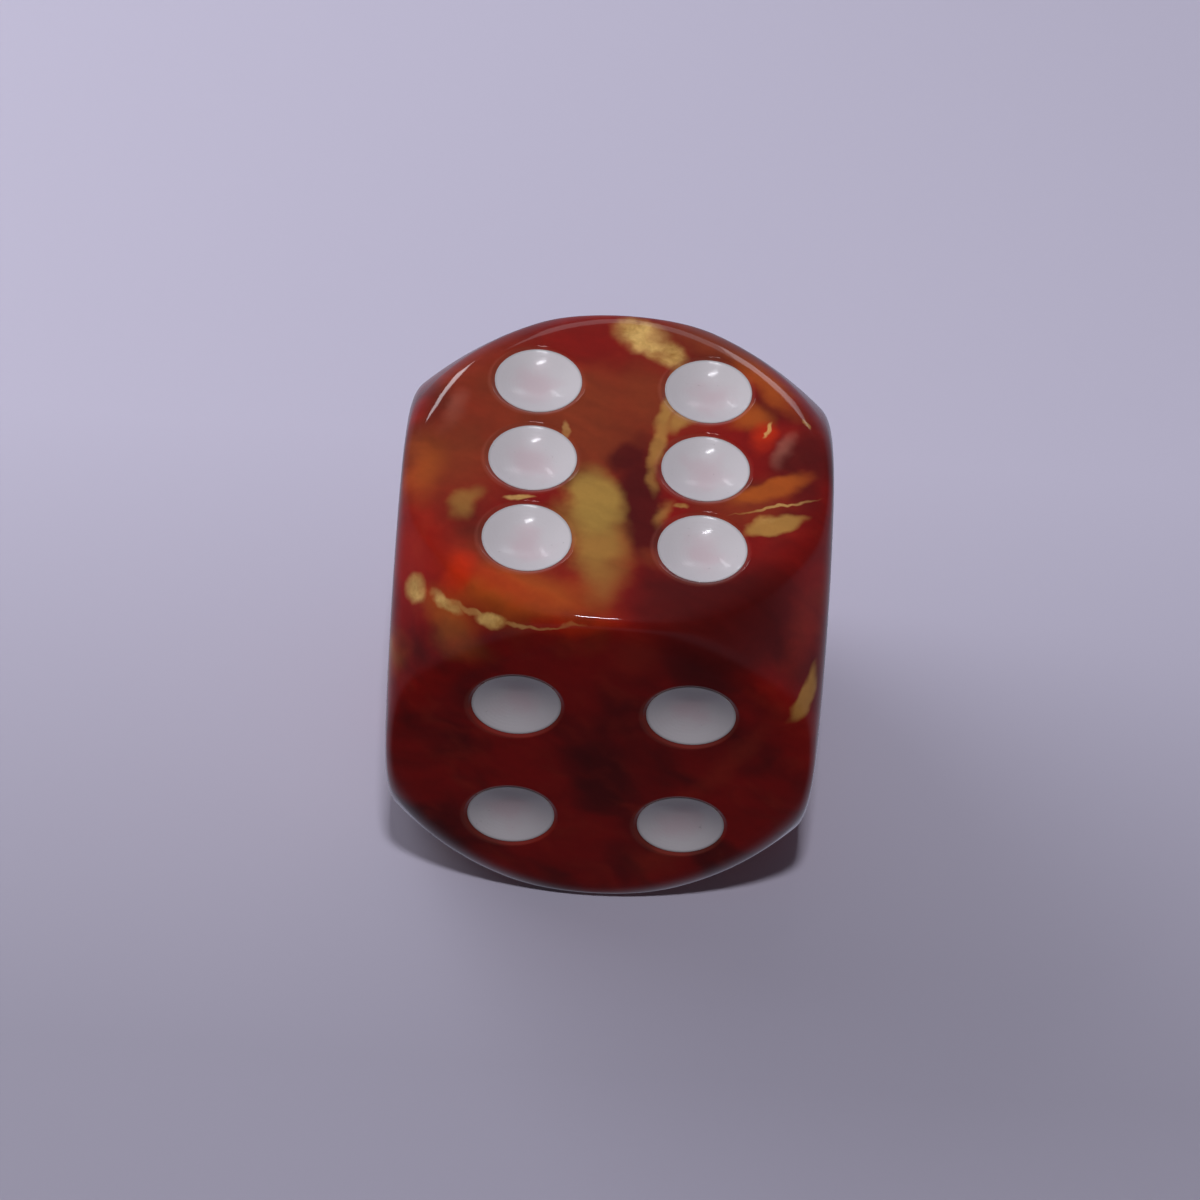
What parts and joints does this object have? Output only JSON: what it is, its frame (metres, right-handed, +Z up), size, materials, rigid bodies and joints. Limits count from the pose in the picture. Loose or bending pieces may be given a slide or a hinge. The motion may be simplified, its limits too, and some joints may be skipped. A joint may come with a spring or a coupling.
{
  "type": "six-sided die",
  "caption": "Round-cornered pipped six-sided die: a swirled translucent resin cube with dished pips lined in glossy white paint.",
  "frame": {"origin": "centre of the square that the bottom face rests on, directly under the die's centre", "axes": "+Z up through the six, -Y out of the four, +X out of the five; the one is underneath"},
  "size_m": [0.016, 0.016, 0.016],
  "materials": {
    "resin": "polished translucent deep red resin swirled with gold pearl",
    "pip_paint": "glossy pearl white paint"
  },
  "bodies": {
    "root": {"die_body": "resin", "pip_one_1": "pip_paint", "pip_two_1": "pip_paint", "pip_two_2": "pip_paint", "pip_three_1": "pip_paint", "pip_three_2": "pip_paint", "pip_three_3": "pip_paint", "pip_four_1": "pip_paint", "pip_four_2": "pip_paint", "pip_four_3": "pip_paint", "pip_four_4": "pip_paint", "pip_five_1": "pip_paint", "pip_five_2": "pip_paint", "pip_five_3": "pip_paint", "pip_five_4": "pip_paint", "pip_five_5": "pip_paint", "pip_six_1": "pip_paint", "pip_six_2": "pip_paint", "pip_six_3": "pip_paint", "pip_six_4": "pip_paint", "pip_six_5": "pip_paint", "pip_six_6": "pip_paint"}
  },
  "joints": []
}
